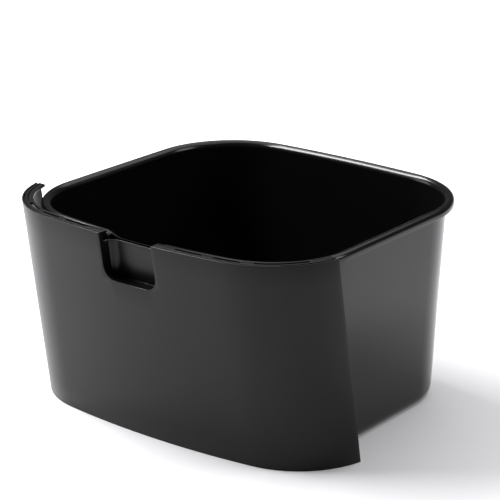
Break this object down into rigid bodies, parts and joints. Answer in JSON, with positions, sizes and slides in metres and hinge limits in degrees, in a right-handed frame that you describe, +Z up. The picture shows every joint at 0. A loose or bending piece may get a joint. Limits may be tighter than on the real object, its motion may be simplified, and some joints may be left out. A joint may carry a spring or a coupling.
{
  "type": "waste tub",
  "caption": "Removable waste tub with a rolled rim and a bowed, forward-leaning front panel that has a finger notch in its top edge.",
  "frame": {"origin": "on the floor, under the middle of the whole container", "axes": "+Z up, +X across to the right of someone facing the panel, -Y towards the front panel"},
  "size_m": [0.3854, 0.3621, 0.215],
  "materials": {
    "tub_plastic": "satin black",
    "panel_plastic": "satin black, fine texture",
    "zinc_steel": "zinc plated"
  },
  "bodies": {
    "root": {"tub": "tub_plastic", "front_panel": "panel_plastic", "panel_frame": "panel_plastic", "grip_pocket": "panel_plastic", "panel_screw_1": "zinc_steel", "panel_screw_2": "zinc_steel", "panel_screw_3": "zinc_steel", "panel_screw_4": "zinc_steel", "panel_screw_5": "zinc_steel", "panel_screw_6": "zinc_steel"}
  },
  "joints": []
}
